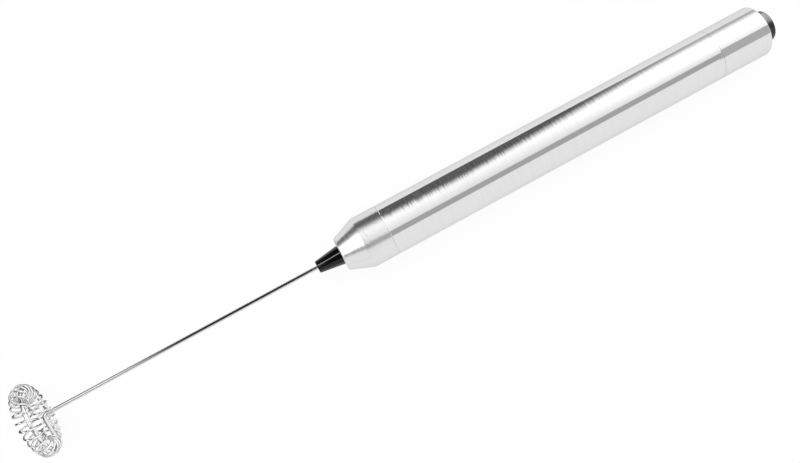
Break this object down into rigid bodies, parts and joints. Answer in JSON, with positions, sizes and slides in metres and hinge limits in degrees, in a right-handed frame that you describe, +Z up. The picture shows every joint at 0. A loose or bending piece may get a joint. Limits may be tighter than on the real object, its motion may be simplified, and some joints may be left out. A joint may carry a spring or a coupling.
{
  "type": "milk frother",
  "caption": "Slim battery milk frother: brushed tube handle with a push button in the tail cap and a motor-driven wire whisk with a coil-wound ring.",
  "frame": {"origin": "on the handle's axis, halfway along the body tube", "axes": "+X along the handle towards the push button, +Z up with the frother lying on its side"},
  "size_m": [0.2186, 0.0198, 0.0196],
  "materials": {
    "handle_steel": "fine satin, turned around the axis",
    "black_plastic": "smooth black moulding",
    "whisk_wire": "bright drawn stainless wire",
    "spring_wire": "bright spring wire",
    "contact_brass": "stamped brass",
    "white_plastic": "plain moulding",
    "grey_plastic": "plain moulding",
    "sleeve_plastic": "thin extruded sleeve",
    "cell_wrap": "plain film wrap on a drawn can",
    "motor_steel": "plated steel",
    "magnet_ferrite": "sintered ferrite",
    "bearing_bronze": "sintered bronze",
    "winding_copper": "enamelled copper wire"
  },
  "bodies": {
    "handle": {"body_tube": "handle_steel", "nose_cone": "handle_steel", "motor_holder": "white_plastic", "motor_can": "motor_steel", "motor_magnets": "magnet_ferrite", "motor_end_cap": "white_plastic", "motor_front_bearing": "bearing_bronze", "motor_rear_bearing": "bearing_bronze", "motor_brushes": "contact_brass", "motor_terminals": "contact_brass", "contact_carrier": "white_plastic", "front_contact": "contact_brass", "battery_front": "cell_wrap", "battery_rear": "cell_wrap", "battery_sleeve": "sleeve_plastic", "return_strip": "contact_brass"},
    "whisk": {"motor_shaft": "motor_steel", "armature_core": "motor_steel", "armature_windings": "winding_copper", "commutator": "contact_brass", "thrust_washers": "white_plastic", "shaft_coupling": "black_plastic", "whisk_shaft": "whisk_wire", "whisk_coil": "whisk_wire"},
    "cap": {"tail_cap": "handle_steel", "switch_housing": "grey_plastic", "retaining_ring": "spring_wire", "switch_contact": "contact_brass", "switch_ground_ring": "contact_brass", "battery_spring": "spring_wire", "button_spring": "spring_wire"},
    "button": {"push_button": "black_plastic", "button_contact": "contact_brass"}
  },
  "joints": [
    {"name": "whisk_spin", "type": "hinge", "parent": "handle", "child": "whisk", "pos_m": [-0.05, 0, 0], "axis": [1, 0, 0], "continuous": true},
    {"name": "cap_draw_off", "type": "slide", "parent": "handle", "child": "cap", "axis": [1, 0, 0], "range_m": [0, 0.03]},
    {"name": "button_press", "type": "slide", "parent": "cap", "child": "button", "axis": [-1, 0, 0], "range_m": [0, 0.0015], "stiffness_N_per_m": 400, "springref_m": -0.002, "deforming": ["button_spring"]}
  ]
}
